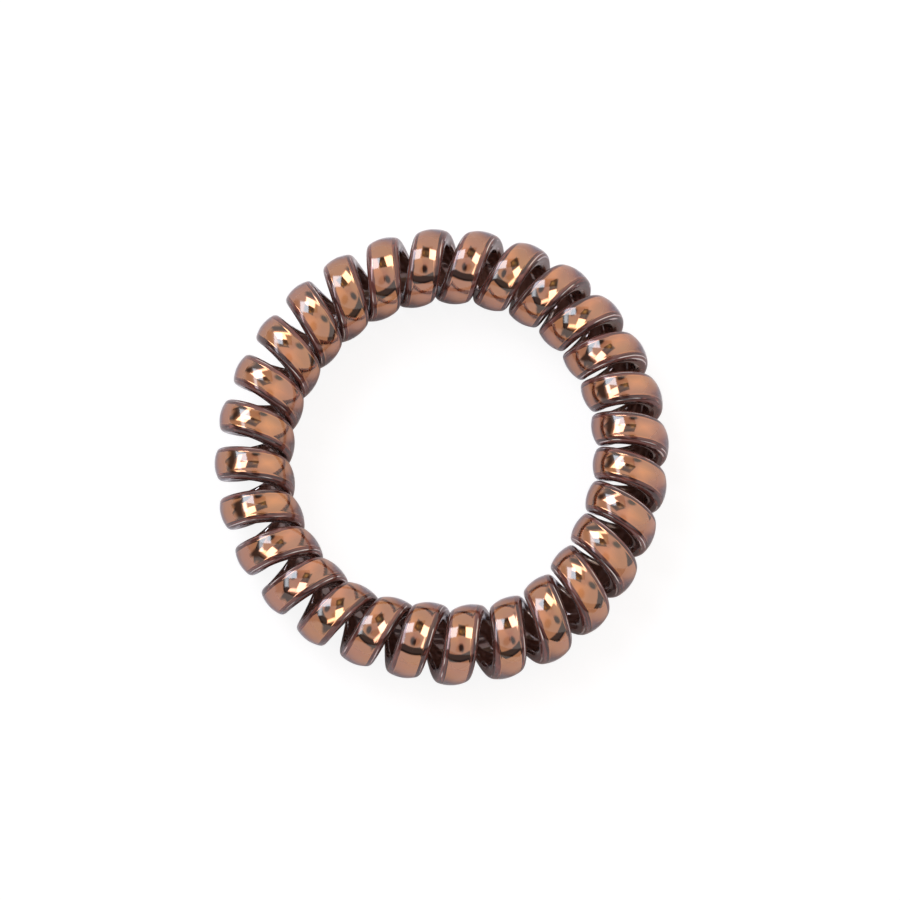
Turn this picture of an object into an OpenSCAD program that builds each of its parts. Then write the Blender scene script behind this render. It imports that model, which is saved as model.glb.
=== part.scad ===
// Spiral hair tie: one closed plastic cord, coiled like a spring and bent round into a ring.
// The ring lies on its side. It rests on z = 0 and its hair opening runs along Z.

/* [Ring] */
// Diameter over the ring, across the outermost turns
ring_d = 56; // [48:0.5:66]
// Thickness of the ring, which is the diameter over one turn
coil_d = 9.4; // [8:0.1:11]
// Closest gap between neighbouring turns, on the inner side of the ring
turn_gap = 0.1; // [0.05:0.05:1]

/* [Cord] */
// Width of the flattened cord
cord_w = 4; // [3:0.1:5]
// Rise of the domed outer face above the widest line of the cord
crown_h = 1; // [0.8:0.1:1.4]
// Depth of the flat inner face below that line
base_h = 1.15; // [0.6:0.05:1.4]
// Width of each rounded shoulder
shoulder_w = 0.7; // [0.5:0.05:1.2]
// Width of each rounded corner of the inner face
corner_w = 0.5; // [0.3:0.05:0.9]
// Rise of the outer face between its two shoulders
dome_rise = 0.2; // [0:0.05:0.3]

/* [Lie] */
// How unevenly the turns lie, from 0 for an even ring to 1 for a used one
unevenness = 1; // [0:0.1:1]
// Place of the first turn, in degrees clockwise from +Y
first_turn = 6.75; // [0:0.25:12]
// How far the tops of the turns are pushed clockwise of their bottoms, as a share of their spacing
top_push = 0.06; // [0:0.01:0.1]

/* [Hidden] */

// Cross-sections along each turn
TURN_STEPS = 18;
// Step along the path, in turns, that its direction is read over
AHEAD = 0.002;
// Angle of the point that rounds each shoulder and each corner of the cord
ROUND_AT = 50;

// How the turns lie, read at chosen places round the ring. Clockwise from +Y, in degrees.
// drift: how far a turn is pushed along the ring, as a share of the spacing of the turns
// out: how far it stands out from the even ring, as a share of the ring's mean radius
// swell: how much wider it is than an even turn, as a share of the turn's diameter
AROUND = 0;
DRIFT = 1;
OUT = 2;
SWELL = 3;
LIE = [
    // around, drift, out, swell
    [0, 0.09, 0.025, -0.02],
    [30, 0.07, 0.025, -0.015],
    [60, 0.02, -0.005, -0.025],
    [90, 0.01, -0.025, -0.03],
    [120, -0.02, -0.02, -0.015],
    [150, -0.02, 0.03, -0.005],
    [165, -0.05, 0.025, -0.02],
    [180, 0, 0.005, 0.035],
    [195, -0.06, -0.01, -0.045],
    [210, -0.07, 0, -0.045],
    [240, -0.06, -0.015, -0.005],
    [270, 0.02, -0.035, 0.01],
    [300, 0.1, -0.04, 0],
    [330, 0.1, -0.005, -0.005],
];
// Spacing of the closest turns, as a share of the mean spacing
CLOSEST = 0.955;

// The turns are as many as fit round the inner side of the ring
mean_r = (ring_d - coil_d) / 2;
loop_r = coil_d / 2 - crown_h;
inner_r = mean_r - loop_r;
even_pitch = (cord_w + turn_gap) / CLOSEST;
lean = atan(even_pitch / (2 * PI * loop_r));
turn_count = floor(2 * PI * inner_r * cos(lean) / even_pitch);
spacing = 360 / turn_count;

function row_angle(i) = LIE[(i + len(LIE)) % len(LIE)][AROUND] + 360 * floor(i / len(LIE));
function row_value(i, column) = LIE[(i + len(LIE)) % len(LIE)][column];
function row_slope(i, column) =
    (row_value(i + 1, column) - row_value(i - 1, column)) / (row_angle(i + 1) - row_angle(i - 1));

// A value of the table between its rows, on a smooth closed curve through them
function lie_at(angle, column) =
    let (
        turned = (angle % 360 + 360) % 360,
        i = max([for (row = [0 : len(LIE) - 1]) if (row_angle(row) <= turned) row]),
        span = row_angle(i + 1) - row_angle(i),
        t = (turned - row_angle(i)) / span,
        rise = row_value(i + 1, column) - row_value(i, column),
        start_slope = row_slope(i, column) * span,
        end_slope = row_slope(i + 1, column) * span
    )
    unevenness * (row_value(i, column) + start_slope * t
        + (3 * rise - 2 * start_slope - end_slope) * t * t
        + (start_slope + end_slope - 2 * rise) * t * t * t);

// Where the cord is round the ring after a number of turns, in degrees clockwise from +Y
function along_at(turns) =
    let (around = first_turn + spacing * turns)
    around + spacing * (lie_at(around, DRIFT) + top_push / 2 * cos(360 * turns));

// The middle of the cord after a number of turns. Each turn goes over the top, down the
// outside of the ring, back below and up the inside, a little further clockwise.
function cord_point(turns) =
    let (
        around = first_turn + spacing * turns,
        along = along_at(turns),
        turn_r = coil_d / 2 * (1 + lie_at(around, SWELL)),
        centre_r = mean_r * (1 + lie_at(around, OUT)),
        reach = centre_r + (turn_r - crown_h) * sin(360 * turns),
        height = turn_r + (turn_r - crown_h) * cos(360 * turns)
    )
    [reach * sin(along), reach * cos(along), height];

// The direction that faces away from the middle of the coil, before it is squared to the path
function away(turns) =
    let (along = along_at(turns))
    [sin(360 * turns) * sin(along), sin(360 * turns) * cos(along), cos(360 * turns)];

function unit(v) = v / norm(v);

// Half of the cord's outline, as [across, up] from its widest line, outer face first
dome_edge = cord_w / 2 - shoulder_w;
shoulder_h = crown_h - dome_rise;
base_edge = cord_w / 2 - corner_w;
half_outline = [
    [dome_edge, shoulder_h],
    [dome_edge + shoulder_w * sin(ROUND_AT), shoulder_h * cos(ROUND_AT)],
    [cord_w / 2, 0],
    [base_edge + corner_w * cos(ROUND_AT), -base_h * sin(ROUND_AT)],
    [base_edge, -base_h],
];
half_count = len(half_outline);
outline = concat(
    [[0, crown_h]],
    half_outline,
    [for (i = [half_count - 1 : -1 : 0]) [-half_outline[i][0], half_outline[i][1]]]
);

// One cross-section of the cord, set square to the path
function cord_section(turns) =
    let (
        middle = cord_point(turns),
        forward = unit(cord_point(turns + AHEAD) - cord_point(turns - AHEAD)),
        rough = away(turns),
        up = unit(rough - forward * (forward * rough)),
        across = cross(forward, up)
    )
    [for (p = outline) middle + across * p[0] + up * p[1]];

module coil() {
    rings = turn_count * TURN_STEPS;
    sides = len(outline);
    points = [for (ring = [0 : rings - 1]) each cord_section(ring / TURN_STEPS)];
    faces = [
        for (ring = [0 : rings - 1], side = [0 : sides - 1])
            let (
                next_ring = (ring + 1) % rings,
                next_side = (side + 1) % sides,
                a = ring * sides + side,
                b = ring * sides + next_side,
                c = next_ring * sides + next_side,
                d = next_ring * sides + side
            )
            each [[a, b, c], [a, c, d]]
    ];
    color("#8f5638")
        polyhedron(points = points, faces = faces, convexity = 20);
}

coil();
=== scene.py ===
# Spiral hair tie: a copper brown coiled cord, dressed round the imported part.
# The ring lies on the floor and its hair opening runs along Z. Lengths are in metres.
import math

import bpy
from mathutils import Matrix, Vector


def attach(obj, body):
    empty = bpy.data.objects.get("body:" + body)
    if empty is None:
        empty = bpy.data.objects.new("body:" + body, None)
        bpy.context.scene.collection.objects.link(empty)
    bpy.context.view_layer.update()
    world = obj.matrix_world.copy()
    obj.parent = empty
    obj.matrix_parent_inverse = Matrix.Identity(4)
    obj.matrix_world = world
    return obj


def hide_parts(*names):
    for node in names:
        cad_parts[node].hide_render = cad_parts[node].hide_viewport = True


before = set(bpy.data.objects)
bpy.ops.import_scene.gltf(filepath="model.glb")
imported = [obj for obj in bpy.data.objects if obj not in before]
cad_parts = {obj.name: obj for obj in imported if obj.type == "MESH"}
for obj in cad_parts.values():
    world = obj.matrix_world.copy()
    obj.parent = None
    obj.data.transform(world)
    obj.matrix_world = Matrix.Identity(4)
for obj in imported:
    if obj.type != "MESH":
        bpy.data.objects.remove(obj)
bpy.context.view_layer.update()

bpy.ops.object.select_all(action="DESELECT")
bpy.context.scene.view_settings.view_transform = "Standard"

# The coil, wound as the part's source has it
coil = {
    "ringDiameter": 0.056,
    "coilDiameter": 0.0094,
    "turnCount": 28,
    "firstTurn": 6.75,  # degrees clockwise from +Y
    "topPush": 0.06,  # clockwise push of the tops against the bottoms, as a share of the spacing
    "stepsPerTurn": 72,
    "ahead": 0.002,  # turns on either side of a place that its direction is read over
    "cordWidth": 0.004,
    "crownHeight": 0.001,  # from the widest line up to the top of the domed outer face
    "baseHeight": 0.00115,  # from the widest line down to the inner face
    "domeRadius": 0.004,  # of the outer face, across the cord
    "shoulderSlope": 23,  # degrees that the outer face has dropped by where its shoulders start
    "cornerWidth": 0.0005,
    "facePoints": 13,
    "shoulderPoints": 8,
    "cornerPoints": 6,
    "innerPoints": 3,
    "cordLength": 0.656,
    "weld": 1e-6,  # points closer than this become one where the sheet closes
}

# How the turns lie: degrees clockwise from +Y, push along the ring in spacings, and how far a turn
# stands out and how much wider it is, as shares of the ring's mean radius and of the turn
lieColumns = ("around", "drift", "out", "swell")
lieRows = [
    (0, 0.09, 0.025, -0.02),
    (30, 0.07, 0.025, -0.015),
    (60, 0.02, -0.005, -0.025),
    (90, 0.01, -0.025, -0.03),
    (120, -0.02, -0.02, -0.015),
    (150, -0.02, 0.03, -0.005),
    (165, -0.05, 0.025, -0.02),
    (180, 0, 0.005, 0.035),
    (195, -0.06, -0.01, -0.045),
    (210, -0.07, 0, -0.045),
    (240, -0.06, -0.015, -0.005),
    (270, 0.02, -0.035, 0.01),
    (300, 0.1, -0.04, 0),
    (330, 0.1, -0.005, -0.005),
]

stage = {
    "tilt": 16.5,  # degrees that the camera leans off the vertical, towards -Y
    "sideTilt": 0.5,  # and towards +X
    "distance": 0.45,
    "lens": 150,
    "aim": (0.001, 0.0005),  # from the ring's middle, right and up in the picture
    "floorSize": 12,
    "floorColour": (0.82, 0.77, 0.77),
    "floorRoughness": 0.8,
    "floorShine": 0.1,
    "floorGlow": 1.1,
    "shadow": 0.2,  # how much of the shadow on the floor the camera sees
    "skyColour": (0.9, 0.86, 0.84),  # what the gloss sees where there is no panel
    "backdrop": (0.95, 0.95, 0.95),  # what the camera sees past the floor
    "nearest": 0.01,
    "furthest": 50,
}


def lieAt(angle, column):
    # A smooth closed curve through the rows of the table
    c = lieColumns.index(column)
    n = len(lieRows)

    def rowAngle(i):
        return lieRows[i % n][0] + 360 * (i // n)

    def rowValue(i):
        return lieRows[i % n][c]

    def rowSlope(i):
        return (rowValue(i + 1) - rowValue(i - 1)) / (rowAngle(i + 1) - rowAngle(i - 1))

    turned = angle % 360
    i = max(row for row in range(n) if rowAngle(row) <= turned)
    span = rowAngle(i + 1) - rowAngle(i)
    t = (turned - rowAngle(i)) / span
    rise = rowValue(i + 1) - rowValue(i)
    startSlope = rowSlope(i) * span
    endSlope = rowSlope(i + 1) * span
    return (rowValue(i) + startSlope * t + (3 * rise - 2 * startSlope - endSlope) * t ** 2
            + (startSlope + endSlope - 2 * rise) * t ** 3)


def coilPoint(turns):
    # Middle of the cord after a number of turns, and the direction away from the coil's own middle
    spacing = 360 / coil["turnCount"]
    around = coil["firstTurn"] + spacing * turns
    push = lieAt(around, "drift") + coil["topPush"] / 2 * math.cos(2 * math.pi * turns)
    along = math.radians(around + spacing * push)
    turnRadius = coil["coilDiameter"] / 2 * (1 + lieAt(around, "swell"))
    meanRadius = (coil["ringDiameter"] - coil["coilDiameter"]) / 2
    centreRadius = meanRadius * (1 + lieAt(around, "out"))
    outward = Vector((math.sin(along), math.cos(along), 0))
    turned = 2 * math.pi * turns
    away = outward * math.sin(turned) + Vector((0, 0, math.cos(turned)))
    hub = outward * centreRadius + Vector((0, 0, turnRadius))
    return hub + away * (turnRadius - coil["crownHeight"]), away


def coilFrame(turns):
    # The cord's middle there, and its own sideways and upward directions, square to its path
    middle, away = coilPoint(turns)
    ahead = coil["ahead"]
    forward = (coilPoint(turns + ahead)[0] - coilPoint(turns - ahead)[0]).normalized()
    upward = (away - forward * forward.dot(away)).normalized()
    return middle, forward.cross(upward), upward


def arcPoints(centre, halfWidth, height, fromAngle, toAngle, count):
    # Points on part of an oval, both ends included
    angles = [math.radians(fromAngle + (toAngle - fromAngle) * i / (count - 1)) for i in range(count)]
    return [(centre + halfWidth * math.cos(a), height * math.sin(a)) for a in angles]


def cordOutline():
    # The cord's closed outline as (across, up), clockwise from the middle of the flat inner face
    half = coil["cordWidth"] / 2
    crown, base, corner = coil["crownHeight"], coil["baseHeight"], coil["cornerWidth"]
    radius = coil["domeRadius"]
    slope = math.radians(coil["shoulderSlope"])
    joinX = radius * math.sin(slope)
    joinY = crown - radius * (1 - math.cos(slope))
    # The shoulder is the part of an oval that carries the dome on, without a kink, to the side
    start = math.asin(1 / (joinY / ((half - joinX) * math.tan(slope)) - 1))
    shoulder = (half - joinX) / (1 - math.sin(start))
    shoulderHeight = joinY / math.cos(start)

    face = []
    for i in range(1, coil["facePoints"] + 1):
        turned = slope * (2 * i / (coil["facePoints"] + 1) - 1)
        face.append((radius * math.sin(turned), crown - radius * (1 - math.cos(turned))))
    rightShoulder = arcPoints(half - shoulder, shoulder, shoulderHeight, 90 - math.degrees(start), 0,
                              coil["shoulderPoints"])
    rightCorner = arcPoints(half - corner, corner, base, 0, -90, coil["cornerPoints"])[1:]
    rightSide = rightShoulder + rightCorner
    leftSide = [(-x, y) for x, y in reversed(rightSide)]
    edge = half - corner
    count = coil["innerPoints"]
    inner = [(edge * (1 - 2 * i / (count + 1)), -base) for i in range(1, count + 1)]
    middle = count // 2
    return inner[middle:] + leftSide + face + rightSide + inner[:middle]


def crownDistances(outline):
    # How far each point of the outline lies from the middle of the outer face, along the surface
    steps = [0]
    for (x0, y0), (x1, y1) in zip(outline, outline[1:]):
        steps.append(steps[-1] + math.hypot(x1 - x0, y1 - y0))
    top = steps[max(range(len(outline)), key=lambda i: outline[i][1])]
    return [abs(step - top) for step in steps]


def makeCord():
    outline = cordOutline()
    outline.append(outline[0])
    distances = crownDistances(outline)
    rings = coil["turnCount"] * coil["stepsPerTurn"]
    sides = len(outline) - 1
    bpy.ops.mesh.primitive_grid_add(x_subdivisions=rings, y_subdivisions=sides, size=1, location=(0, 0, 0))
    cord = bpy.context.object
    cord.name = cord.data.name = "coiledCord"
    for name in ("outward", "toSide", "alongCord"):
        cord.data.attributes.new(name, "FLOAT_VECTOR", "POINT")
    cord.data.attributes.new("fromCrown", "FLOAT", "POINT")
    fromCrown, outward, toSide, alongCord = [
        cord.data.attributes[name].data for name in ("fromCrown", "outward", "toSide", "alongCord")]
    # The flat sheet is rolled up across and wound lengthwise, from its own two counts
    frames = [coilFrame(ring / coil["stepsPerTurn"]) for ring in range(rings + 1)]
    loopRadius = coil["cordLength"] / (2 * math.pi)
    for i, vertex in enumerate(cord.data.vertices):
        ring = round((vertex.co.x + 0.5) * rings)
        place = round((vertex.co.y + 0.5) * sides)
        middle, sideways, upward = frames[ring]
        across, up = outline[place]
        side = math.copysign(1, across)
        turned = 2 * math.pi * ring / rings
        vertex.co = middle + sideways * across + upward * up
        fromCrown[i].value = distances[place]
        outward[i].vector = upward
        toSide[i].vector = sideways * side
        alongCord[i].vector = (loopRadius * math.cos(turned), loopRadius * math.sin(turned),
                               distances[place] * side)
    bpy.ops.object.mode_set(mode="EDIT")
    bpy.ops.mesh.select_all(action="SELECT")
    bpy.ops.mesh.remove_doubles(threshold=coil["weld"])
    bpy.ops.mesh.normals_make_consistent(inside=False)
    bpy.ops.object.mode_set(mode="OBJECT")
    bpy.ops.object.shade_smooth()
    print("cord", len(cord.data.polygons), "faces")
    return cord


def newMaterial(name):
    material = bpy.data.materials.new(name)
    material.use_nodes = True
    nodes = material.node_tree.nodes
    return material, nodes, material.node_tree.links, nodes["Principled BSDF"]


# The finish: a copper strip under the clear outer face, and dark brown plastic round the rest.
# Places across the cord are distances from the middle of its outer face, along the surface.
finish = {
    "stripHalf": 0.00131,
    "stripEdge": 0.00003,
    "wander": 0.00012,  # how far the strip's edge wanders
    "hollow": 0.0030,  # the clear dome over the strip makes it look as hollow as this radius
    "rollStart": 0.00108,  # from here the strip rolls over to its edge
    "rollOn": 0.0001,  # and the roll ends this far past it
    "roll": 1.0,
    "rippleStrength": 0.25,
    "rippleHeight": 0.00002,
    "copper": (0.465, 0.208, 0.098),
    "copperPink": (0.44, 0.195, 0.118),
    "darkBrown": (0.055, 0.022, 0.018),
    "darkRed": (0.17, 0.055, 0.042),
    "speck": (0.26, 0.08, 0.055),
    "darkMetal": 0.25,
    "innerFace": (0.0026, 0.0034),  # where the colour of the sides turns into that of the inner face
    "innerBrown": (0.2, 0.088, 0.064),
    "sideGloss": 0.6,
    "innerGloss": 0.9,
    "glossTurn": (0.0024, 0.003),
    "roughness": (0.03, 0.09),
    "edgeTint": (0.25, 0.3, 0.45),  # the copper turns duller and greyer where it is seen steeply
    # Painted highlights: pale metallic lines along the sides of the cord, standing in for the bright
    # reflections on its shoulders; where each one starts and ends
    "highlightLines": ((0.00176, 0.00186), (0.00218, 0.00236), (0.0032, 0.0039)),
    "lineEdge": 0.00003,
    "highlightPaint": (0.72, 0.63, 0.6),
    "clearIor": 1.8,  # the clear skin mirrors more than bare plastic would
    "clearRoughness": 0.02,
}

# The noises of the finish. Those over the cord run along it in X and Y and across it in Z.
# used: the part of its values that is spread over the whole range
noises = {
    "streaks": {"scale": 900, "detail": 3, "stretch": (0.12, 0.12, 1.6), "used": (0.3, 0.7)},
    "grain": {"scale": 2600, "detail": 1, "stretch": (0.06, 0.06, 1.3), "used": (0.38, 0.62)},
    "specks": {"scale": 3200, "detail": 1, "stretch": (0.25, 0.25, 1), "used": (0.58, 0.78)},
    "patches": {"scale": 420, "detail": 1, "stretch": (1, 1, 2), "used": (0.47, 0.6)},
    "tint": {"scale": 180, "detail": 1, "stretch": (1, 1, 1), "used": (0.35, 0.65)},
    "wander": {"scale": 700, "detail": 1, "stretch": (1, 1, 1)},
    "ripple": {"scale": 500, "detail": 2, "stretch": (0.5, 0.5, 1)},
}


def feed(links, socket, value):
    # Gives a node's input a link, a colour or a plain value
    if isinstance(value, bpy.types.NodeSocket):
        links.new(value, socket)
    elif socket.type == "RGBA":
        socket.default_value = (*value, 1)
    else:
        socket.default_value = value


def addMath(nodes, links, operation, first, second=0):
    node = nodes.new("ShaderNodeMath")
    node.operation = operation
    feed(links, node.inputs[0], first)
    feed(links, node.inputs[1], second)
    return node.outputs["Value"]


def addVector(nodes, links, operation, first, second=None):
    node = nodes.new("ShaderNodeVectorMath")
    node.operation = operation
    feed(links, node.inputs[0], first)
    if second is not None:
        feed(links, node.inputs["Scale"] if operation == "SCALE" else node.inputs[1], second)
    return node.outputs["Value" if operation in ("DISTANCE", "DOT_PRODUCT") else "Vector"]


def addRange(nodes, links, value, low, high, start=0, end=1):
    # Smooth step from start to end while the value goes from low to high
    node = nodes.new("ShaderNodeMapRange")
    node.interpolation_type = "SMOOTHSTEP"
    names = ("Value", "From Min", "From Max", "To Min", "To Max")
    for name, given in zip(names, (value, low, high, start, end)):
        feed(links, node.inputs[name], given)
    return node.outputs["Result"]


def addBand(nodes, links, value, low, high, soft):
    # 1 while the value is between low and high, with soft edges
    rise = addRange(nodes, links, value, low - soft, low + soft)
    fall = addRange(nodes, links, value, high - soft, high + soft, 1, 0)
    return addMath(nodes, links, "MULTIPLY", rise, fall)


def addNoise(nodes, links, place, name, start=0, end=1):
    # A noise from the table, and where the table says so its used part, spread from start to end
    look = noises[name]
    mapping = nodes.new("ShaderNodeMapping")
    mapping.inputs["Scale"].default_value = look["stretch"]
    links.new(place, mapping.inputs["Vector"])
    noise = nodes.new("ShaderNodeTexNoise")
    noise.inputs["Scale"].default_value = look["scale"]
    noise.inputs["Detail"].default_value = look["detail"]
    links.new(mapping.outputs["Vector"], noise.inputs["Vector"])
    if "used" not in look:
        return noise.outputs["Fac"]
    return addRange(nodes, links, noise.outputs["Fac"], *look["used"], start, end)


def addMix(nodes, links, factor, first, second, kind="RGBA"):
    node = nodes.new("ShaderNodeMix")
    node.data_type = kind
    for name, value in zip(("Factor", "A", "B"), (factor, first, second)):
        feed(links, node.inputs[name], value)
    return node.outputs["Result"]


def splitRays(nodes, links, mirrored, seen):
    # The gloss and the light see one shader, and the camera sees the other
    path = nodes.new("ShaderNodeLightPath")
    mix = nodes.new("ShaderNodeMixShader")
    for socket, value in zip(mix.inputs, (path.outputs["Is Camera Ray"], mirrored, seen)):
        links.new(value, socket)
    return mix.outputs["Shader"]


def readAttribute(nodes, name, output):
    node = nodes.new("ShaderNodeAttribute")
    node.attribute_name = name
    return node.outputs[output]


def toWorld(nodes, links, direction):
    turn = nodes.new("ShaderNodeVectorTransform")
    turn.vector_type = "NORMAL"
    turn.convert_from = "OBJECT"
    turn.convert_to = "WORLD"
    links.new(direction, turn.inputs[0])
    return turn.outputs[0]


def cordMaterial():
    material, nodes, links, shader = newMaterial("copperUnderClear")
    fromCrown = readAttribute(nodes, "fromCrown", "Fac")
    alongCord = readAttribute(nodes, "alongCord", "Vector")
    outward = readAttribute(nodes, "outward", "Vector")
    toSide = readAttribute(nodes, "toSide", "Vector")

    # Where the strip is, with an edge that wanders a little
    wander = addMath(nodes, links, "MULTIPLY", addNoise(nodes, links, alongCord, "wander"), finish["wander"])
    reach = addMath(nodes, links, "ADD", fromCrown, wander)
    edge, soft = finish["stripHalf"] + finish["wander"] / 2, finish["stripEdge"]
    strip = addRange(nodes, links, reach, edge - soft, edge + soft, 1, 0)

    # The strip's own facing: hollow across, rolled over at its edges
    sink = addMath(nodes, links, "MULTIPLY", fromCrown, -1 / finish["hollow"])
    roll = addRange(nodes, links, fromCrown, finish["rollStart"], edge + finish["rollOn"], 0, finish["roll"])
    lean = addMath(nodes, links, "ADD", sink, roll)
    facing = addVector(nodes, links, "ADD", outward, addVector(nodes, links, "SCALE", toSide, lean))
    facing = toWorld(nodes, links, addVector(nodes, links, "NORMALIZE", facing))
    surface = nodes.new("ShaderNodeNewGeometry").outputs["Normal"]
    bump = nodes.new("ShaderNodeBump")
    bump.inputs["Strength"].default_value = finish["rippleStrength"]
    bump.inputs["Distance"].default_value = finish["rippleHeight"]
    links.new(addNoise(nodes, links, alongCord, "ripple"), bump.inputs["Height"])
    links.new(addMix(nodes, links, strip, surface, facing, "VECTOR"), bump.inputs["Normal"])
    links.new(bump.outputs["Normal"], shader.inputs["Normal"])

    place = nodes.new("ShaderNodeTexCoord").outputs["Object"]
    tint = addNoise(nodes, links, place, "tint")
    copper = addMix(nodes, links, tint, finish["copper"], finish["copperPink"])
    grain = addNoise(nodes, links, alongCord, "grain")
    brown = addMix(nodes, links, grain, finish["darkBrown"], finish["darkRed"])
    brown = addMix(nodes, links, addNoise(nodes, links, alongCord, "specks"), brown, finish["speck"])
    inside = addRange(nodes, links, fromCrown, *finish["innerFace"])
    brown = addMix(nodes, links, inside, brown, finish["innerBrown"])
    # Painted highlights: the pale lines stand in for the bright reflections on the cord's shoulders, and come
    # and go along the cord
    highlightLines = 0
    for low, high in finish["highlightLines"]:
        line = addBand(nodes, links, reach, low, high, finish["lineEdge"])
        highlightLines = addMath(nodes, links, "ADD", line, highlightLines)
    paintedHighlights = addMath(nodes, links, "MULTIPLY", highlightLines, addNoise(nodes, links, alongCord, "patches"))
    brown = addMix(nodes, links, paintedHighlights, brown, finish["highlightPaint"])
    links.new(addMix(nodes, links, strip, brown, copper), shader.inputs["Base Color"])

    # The painted highlight lines are made metallic, as the copper strip is
    stripAndHighlights = addMath(nodes, links, "MAXIMUM", strip, paintedHighlights)
    metal = addRange(nodes, links, stripAndHighlights, 0, 1, finish["darkMetal"], 1)
    links.new(metal, shader.inputs["Metallic"])
    gloss = addRange(nodes, links, fromCrown, *finish["glossTurn"], finish["sideGloss"], finish["innerGloss"])
    links.new(addMath(nodes, links, "MAXIMUM", strip, gloss), shader.inputs["Coat Weight"])
    rough = addNoise(nodes, links, alongCord, "streaks", *finish["roughness"])
    links.new(rough, shader.inputs["Roughness"])
    shader.inputs["Specular Tint"].default_value = (*finish["edgeTint"], 1)
    shader.inputs["Coat Roughness"].default_value = finish["clearRoughness"]
    shader.inputs["Coat IOR"].default_value = finish["clearIor"]
    print("finish", len(nodes), "nodes")
    return material


def makeFloor():
    bpy.ops.mesh.primitive_plane_add(size=stage["floorSize"], location=(0, 0, 0))
    floor = bpy.context.object
    floor.name = "floor"
    material, nodes, links, shader = newMaterial("paleFloor")
    # The camera sees it brightly lit, with a faint shadow; the gloss sees its true, duller tone
    shader.inputs["Base Color"].default_value = (*stage["floorColour"], 1)
    shader.inputs["Roughness"].default_value = stage["floorRoughness"]
    shader.inputs["Specular IOR Level"].default_value = stage["floorShine"]
    glow = nodes.new("ShaderNodeEmission")
    glow.inputs["Color"].default_value = (1, 1, 1, 1)
    glow.inputs["Strength"].default_value = stage["floorGlow"]
    pale = nodes.new("ShaderNodeMixShader")
    pale.inputs[0].default_value = stage["shadow"]
    links.new(glow.outputs[0], pale.inputs[1])
    links.new(shader.outputs[0], pale.inputs[2])
    surface = splitRays(nodes, links, shader.outputs[0], pale.outputs[0])
    links.new(surface, nodes["Material Output"].inputs["Surface"])
    floor.data.materials.append(material)
    print("floor", stage["floorSize"], "m")


# What the gloss sees round the camera, placed by where a facet has to point to show it: right and
# up in the picture, as parts of a unit normal. Later ones lie over earlier ones. Those with a
# radius are rings, or a round spot where it is 0; they show only where the cosine of the angle
# to "towards" is past "fade". Colours are multiplied by the power, which is 1 where it isn't given.
panels = {
    "bright": {"at": (0.35, 0.3), "half": (0.16, 0.14), "soft": 0.25, "colour": (1.5, 1.27, 1)},
    "middle": {"at": (-0.02, 0.08), "half": (0.12, 0.1), "soft": 0.12, "colour": (0.82, 0.68, 0.68)},
    "band": {"at": (0.4, 0.93), "radius": 1.28, "half": 0.085, "soft": 0.02, "towards": (-0.3, -0.95),
             "fade": (0.75, 0.85), "colour": (0.1, 0.11, 0.13)},
    "bandEdge": {"at": (0.4, 0.93), "radius": 1.36, "half": 0.025, "soft": 0.02, "towards": (-0.3, -0.95),
                 "fade": (0.75, 0.85), "colour": (0.03, 0.03, 0.035)},
    "darkSide": {"at": (-0.54, 0.16), "half": (0.09, 0.36), "soft": 0.06, "colour": (0.1, 0.085, 0.08)},
    "window": {"at": (-0.28, 0.375), "half": (0.128, 0.118), "soft": 0.025, "colour": (0.82, 0.9, 1),
               "power": 7.5},
    "lowWindow": {"at": (-0.375, 0.12), "half": (0.04, 0.13), "soft": 0.03, "colour": (0.88, 0.93, 1),
                  "power": 5.5},
    "square": {"at": (-0.005, 0.385), "half": (0.14, 0.13), "soft": 0.02, "colour": (0.22, 0.18, 0.13)},
    "squareTop": {"at": (-0.03, 0.46), "half": (0.09, 0.025), "soft": 0.03, "colour": (0.07, 0.06, 0.06)},
    "squareGold": {"at": (0.05, 0.35), "half": (0.035, 0.03), "soft": 0.04, "colour": (0.75, 0.68, 0.3)},
    "squareFoot": {"at": (-0.07, 0.3), "half": (0.02, 0.02), "soft": 0.03, "colour": (0.07, 0.06, 0.06)},
    "lens": {"at": (0, -0.045), "radius": 0, "half": 0.105, "soft": 0.045, "towards": (0, -1),
             "fade": (-3, -2), "colour": (0.06, 0.05, 0.055)},
}


def newMaskGroup(name, inputs):
    # A node group that turns a position and some measures into a mask
    group = bpy.data.node_groups.new(name, "ShaderNodeTree")
    for label, kind in inputs.items():
        group.interface.new_socket(name=label, in_out="INPUT", socket_type="NodeSocket" + kind)
    group.interface.new_socket(name="Mask", in_out="OUTPUT", socket_type="NodeSocketFloat")
    given = group.nodes.new("NodeGroupInput").outputs
    result = group.nodes.new("NodeGroupOutput").inputs["Mask"]
    return group, group.nodes, group.links, given, result


def addSoftEdge(nodes, links, beyond, softness):
    # 1 inside the edge and 0 outside it
    return addRange(nodes, links, beyond, addMath(nodes, links, "MULTIPLY", softness, -1), softness, 1, 0)


def makeBoxMask():
    group, nodes, links, given, result = newMaskGroup("softPanel", {
        "Position": "Vector", "Centre": "Vector", "Half Size": "Vector", "Softness": "Float"})
    offset = addVector(nodes, links, "SUBTRACT", given["Position"], given["Centre"])
    size = addVector(nodes, links, "ABSOLUTE", offset)
    beyond = nodes.new("ShaderNodeSeparateXYZ")
    links.new(addVector(nodes, links, "SUBTRACT", size, given["Half Size"]), beyond.inputs[0])
    furthest = addMath(nodes, links, "MAXIMUM", beyond.outputs["X"], beyond.outputs["Y"])
    links.new(addSoftEdge(nodes, links, furthest, given["Softness"]), result)
    return group


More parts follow.
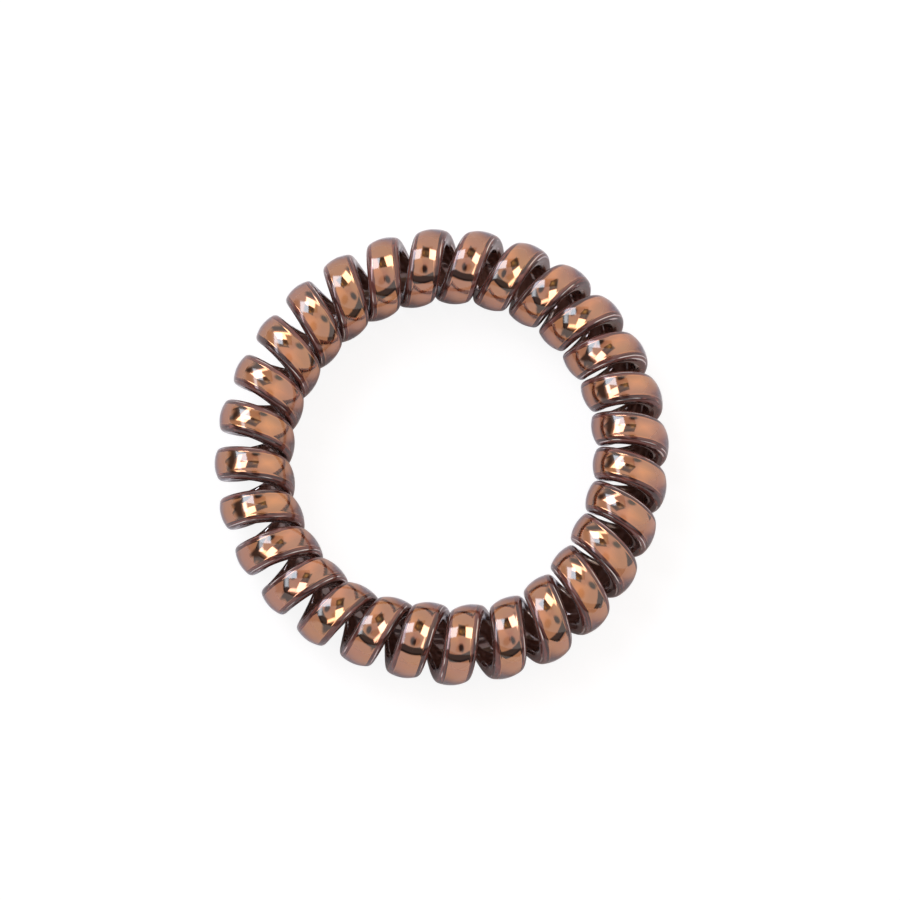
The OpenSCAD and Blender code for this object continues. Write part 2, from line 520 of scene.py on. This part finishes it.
def makeRingMask():
    # Only the part of the ring that lies towards one side
    group, nodes, links, given, result = newMaskGroup("softRing", {
        "Position": "Vector", "Centre": "Vector", "Radius": "Float", "Half Width": "Float",
        "Softness": "Float", "Towards": "Vector", "Fade From": "Float", "Fade To": "Float"})
    reach = addVector(nodes, links, "DISTANCE", given["Position"], given["Centre"])
    offset = addMath(nodes, links, "SUBTRACT", reach, given["Radius"])
    beyond = addMath(nodes, links, "SUBTRACT", addMath(nodes, links, "ABSOLUTE", offset), given["Half Width"])
    away = addVector(nodes, links, "SUBTRACT", given["Position"], given["Centre"])
    side = addVector(nodes, links, "DOT_PRODUCT", addVector(nodes, links, "NORMALIZE", away), given["Towards"])
    limit = addRange(nodes, links, side, given["Fade From"], given["Fade To"])
    ring = addSoftEdge(nodes, links, beyond, given["Softness"])
    links.new(addMath(nodes, links, "MULTIPLY", ring, limit), result)
    return group


def cameraAxes():
    lean, side = math.radians(stage["tilt"]), math.radians(stage["sideTilt"])
    back = Vector((math.sin(side), -math.sin(lean) * math.cos(side), math.cos(lean) * math.cos(side)))
    right = Vector((0, 1, 0)).cross(back).normalized()
    return back, right, back.cross(right)


def makeWorld():
    back, right, up = cameraAxes()
    world = bpy.data.worlds.new("studio")
    bpy.context.scene.world = world
    world.use_nodes = True
    nodes, links = world.node_tree.nodes, world.node_tree.links
    nodes.clear()
    # The facet that would mirror each direction into the camera, seen flat in the picture
    place = nodes.new("ShaderNodeTexCoord").outputs["Generated"]
    facet = addVector(nodes, links, "NORMALIZE", addVector(nodes, links, "ADD", place, back))
    position = nodes.new("ShaderNodeCombineXYZ")
    for axis, socket in ((right, "X"), (up, "Y")):
        links.new(addVector(nodes, links, "DOT_PRODUCT", facet, axis), position.inputs[socket])
    boxMask, ringMask = makeBoxMask(), makeRingMask()
    light = stage["skyColour"]
    for name, panel in panels.items():
        measures = {"Centre": (*panel["at"], 0), "Softness": panel["soft"]}
        if "radius" in panel:
            measures.update({
                "Radius": panel["radius"], "Half Width": panel["half"], "Towards": (*panel["towards"], 0),
                "Fade From": panel["fade"][0], "Fade To": panel["fade"][1]})
        else:
            measures["Half Size"] = (*panel["half"], 0)
        mask = nodes.new("ShaderNodeGroup")
        mask.name = name
        mask.node_tree = ringMask if "radius" in panel else boxMask
        links.new(position.outputs[0], mask.inputs["Position"])
        for label, value in measures.items():
            mask.inputs[label].default_value = value
        colour = tuple(c * panel.get("power", 1) for c in panel["colour"])
        light = addMix(nodes, links, mask.outputs["Mask"], light, colour)
    studio = nodes.new("ShaderNodeBackground")
    links.new(light, studio.inputs["Color"])
    plain = nodes.new("ShaderNodeBackground")
    plain.inputs["Color"].default_value = (*stage["backdrop"], 1)
    output = nodes.new("ShaderNodeOutputWorld")
    links.new(splitRays(nodes, links, studio.outputs[0], plain.outputs[0]), output.inputs["Surface"])
    print("studio", len(panels), "panels")


def makeCamera():
    back, right, up = cameraAxes()
    data = bpy.data.cameras.new("camera")
    data.lens = stage["lens"]
    data.clip_start = stage["nearest"]
    data.clip_end = stage["furthest"]
    camera = bpy.data.objects.new("camera", data)
    bpy.context.scene.collection.objects.link(camera)
    middle = Vector((0, 0, coil["coilDiameter"] / 2))
    target = middle + right * stage["aim"][0] + up * stage["aim"][1]
    turn = Matrix((right, up, back)).transposed().to_4x4()
    camera.matrix_world = Matrix.Translation(target + back * stage["distance"]) @ turn
    bpy.context.scene.camera = camera
    print("camera", stage["distance"], "m away")


cord = makeCord()
cord.data.materials.append(cordMaterial())
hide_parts("coil")
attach(cord, "root")
makeFloor()
makeWorld()
makeCamera()
